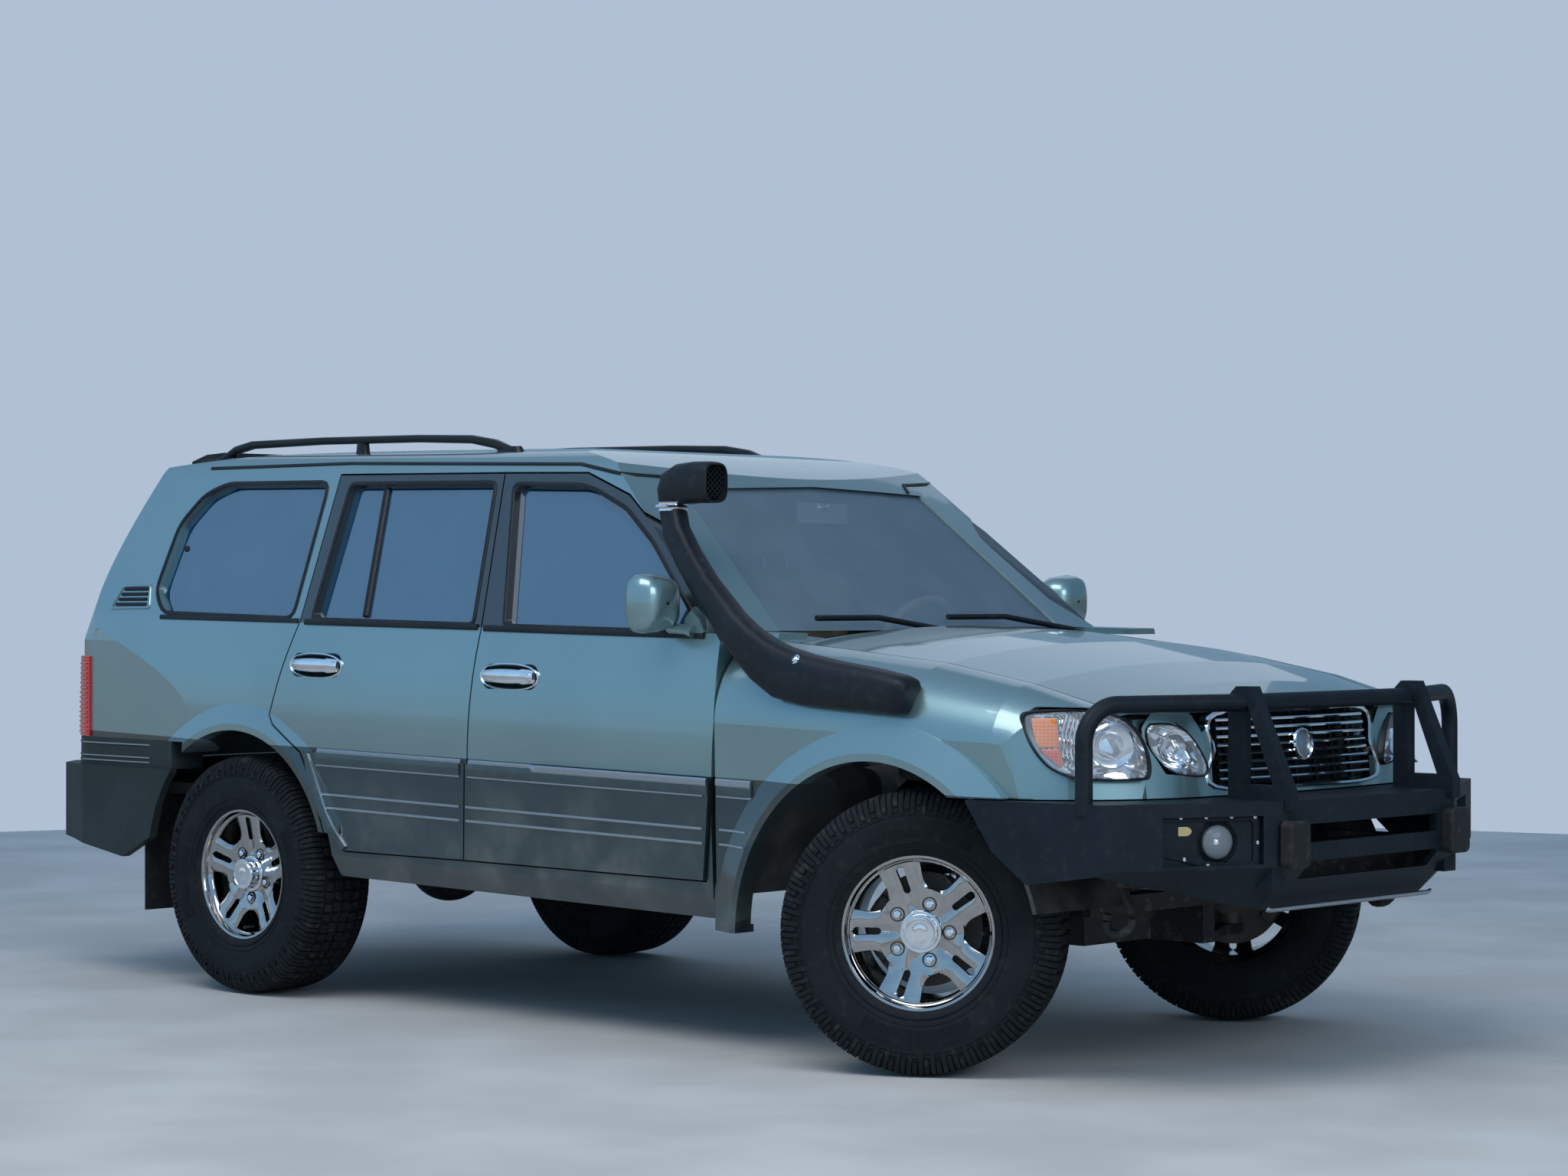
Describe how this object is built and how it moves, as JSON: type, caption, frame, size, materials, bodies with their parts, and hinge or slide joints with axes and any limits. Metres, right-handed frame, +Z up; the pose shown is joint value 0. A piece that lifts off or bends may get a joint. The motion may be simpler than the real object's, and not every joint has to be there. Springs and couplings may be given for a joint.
{
  "type": "lifted off-road 4x4 station wagon",
  "caption": "Lifted four-wheel-drive wagon with opening doors, bonnet, hatch and tailgate, steered wheels, steel front bumper and guard, and a raised air intake.",
  "frame": {"origin": "on the ground, under the middle of the overall box", "axes": "+X forward, +Y to the vehicle's left, +Z up"},
  "size_m": [5.062, 2.1858, 1.862],
  "materials": {
    "body_paint": "metallic grey-green lacquer",
    "lower_paint": "darker grey-green lacquer",
    "black_steel": "satin black powder coat",
    "black_plastic": "moulded black",
    "rubber": "black rubber",
    "dark_glass": "dark tinted glass",
    "clear_glass": "clear glass",
    "lamp_glass": "clear lamp lens over a bright bowl",
    "red_lens": "red lens",
    "bright_trim": "bright plating",
    "wheel_alloy": "polished alloy",
    "tyre": "black tread rubber",
    "frame_steel": "black chassis paint",
    "cast_iron": "bare casting",
    "seat_leather": "stitched leather",
    "cabin_plastic": "grained plastic",
    "mirror": "silvered"
  },
  "bodies": {
    "root": {"air_intake": "black_plastic", "body_side_left": "body_paint", "body_side_right": "body_paint", "buffers": "rubber", "bulkhead": "frame_steel", "bumper_lamps": "lamp_glass", "cross_members": "frame_steel", "dashboard": "cabin_plastic", "engine_and_gearbox": "cast_iron", "exhaust": "frame_steel", "floor_pan": "frame_steel", "frame_rails": "frame_steel", "front_bumper": "black_steel", "front_panel": "body_paint", "front_suspension": "frame_steel", "front_wing_left": "body_paint", "front_wing_right": "body_paint", "fuel_tank": "frame_steel", "grille": "bright_trim", "guard": "black_steel", "headlamps": "lamp_glass", "inner_mirror": "mirror", "mud_flaps": "rubber", "quarter_glass": "dark_glass", "rear_axle": "frame_steel", "rear_bumper": "lower_paint", "roof_deflector": "black_plastic", "roof_panel": "body_paint", "roof_rails": "black_plastic", "seats": "seat_leather", "spare_wheel": "tyre", "tail_lamps": "red_lens", "windscreen": "clear_glass", "wipers": "black_plastic"},
    "wheel_front_right": {"tyre_front_right": "tyre", "rim_front_right": "wheel_alloy"},
    "wheel_front_left": {"tyre_front_left": "tyre", "rim_front_left": "wheel_alloy"},
    "wheel_rear_right": {"tyre_rear_right": "tyre", "rim_rear_right": "wheel_alloy"},
    "wheel_rear_left": {"tyre_rear_left": "tyre", "rim_rear_left": "wheel_alloy"},
    "steer_right": {"knuckle_right": "cast_iron"},
    "steer_left": {"knuckle_left": "cast_iron"},
    "door_front_right": {"front_door_right": "body_paint", "front_door_glass_right": "dark_glass", "door_mirror_right": "body_paint"},
    "door_front_left": {"front_door_left": "body_paint", "front_door_glass_left": "dark_glass", "door_mirror_left": "body_paint"},
    "door_rear_right": {"rear_door_right": "body_paint", "rear_door_glass_right": "dark_glass"},
    "door_rear_left": {"rear_door_left": "body_paint", "rear_door_glass_left": "dark_glass"},
    "bonnet": {"bonnet": "body_paint"},
    "hatch": {"hatch": "body_paint", "hatch_glass": "dark_glass"},
    "tailgate": {"tailgate": "body_paint"},
    "steering_wheel": {"steering_wheel": "cabin_plastic"}
  },
  "joints": [
    {"name": "door_front_right", "type": "hinge", "parent": "root", "child": "door_front_right", "pos_m": [0.848, -0.948, 0.9], "axis": [0, 0, 1], "range_deg": [0, 66]},
    {"name": "door_rear_right", "type": "hinge", "parent": "root", "child": "door_rear_right", "pos_m": [-0.199, -0.948, 0.9], "axis": [0, 0, 1], "range_deg": [0, 68]},
    {"name": "door_front_left", "type": "hinge", "parent": "root", "child": "door_front_left", "pos_m": [0.848, 0.948, 0.9], "axis": [0, 0, -1], "range_deg": [0, 66]},
    {"name": "door_rear_left", "type": "hinge", "parent": "root", "child": "door_rear_left", "pos_m": [-0.199, 0.948, 0.9], "axis": [0, 0, -1], "range_deg": [0, 68]},
    {"name": "bonnet_lift", "type": "hinge", "parent": "root", "child": "bonnet", "pos_m": [1.015, 0, 1.238], "axis": [0, -1, 0], "range_deg": [0, 50]},
    {"name": "hatch_lift", "type": "hinge", "parent": "root", "child": "hatch", "pos_m": [-2.073, 0, 1.753], "axis": [0, 1, 0], "range_deg": [0, 76]},
    {"name": "tailgate_drop", "type": "hinge", "parent": "root", "child": "tailgate", "pos_m": [-2.415, 0, 0.741], "axis": [0, -1, 0], "range_deg": [0, 90]},
    {"name": "steer_right", "type": "hinge", "parent": "root", "child": "steer_right", "pos_m": [1.494, -0.715, 0.397], "axis": [0, 0, 1], "range_deg": [-65, 5]},
    {"name": "steer_left", "type": "hinge", "parent": "root", "child": "steer_left", "pos_m": [1.494, 0.715, 0.397], "axis": [0, 0, 1], "range_deg": [-65, 5]},
    {"name": "steering_wheel", "type": "hinge", "parent": "root", "child": "steering_wheel", "pos_m": [0.494, 0.372, 1.1433], "axis": [-0.9055, 0, 0.4244], "range_deg": [-1140, 90]},
    {"name": "roll_front_right", "type": "hinge", "parent": "steer_right", "child": "wheel_front_right", "pos_m": [1.5415, -0.79727, 0.397], "axis": [-0.5, 0.866, 0], "continuous": true},
    {"name": "roll_rear_right", "type": "hinge", "parent": "root", "child": "wheel_rear_right", "pos_m": [-1.356, -0.81, 0.397], "axis": [0, 1, 0], "continuous": true},
    {"name": "roll_front_left", "type": "hinge", "parent": "steer_left", "child": "wheel_front_left", "pos_m": [1.4465, 0.79727, 0.397], "axis": [-0.5, 0.866, 0], "continuous": true},
    {"name": "roll_rear_left", "type": "hinge", "parent": "root", "child": "wheel_rear_left", "pos_m": [-1.356, 0.81, 0.397], "axis": [0, 1, 0], "continuous": true}
  ],
  "couplings": [
    {"joint": "steer_left", "follows": "steer_right", "ratio": 1},
    {"joint": "steering_wheel", "follows": "steer_right", "ratio": 17.5}
  ]
}
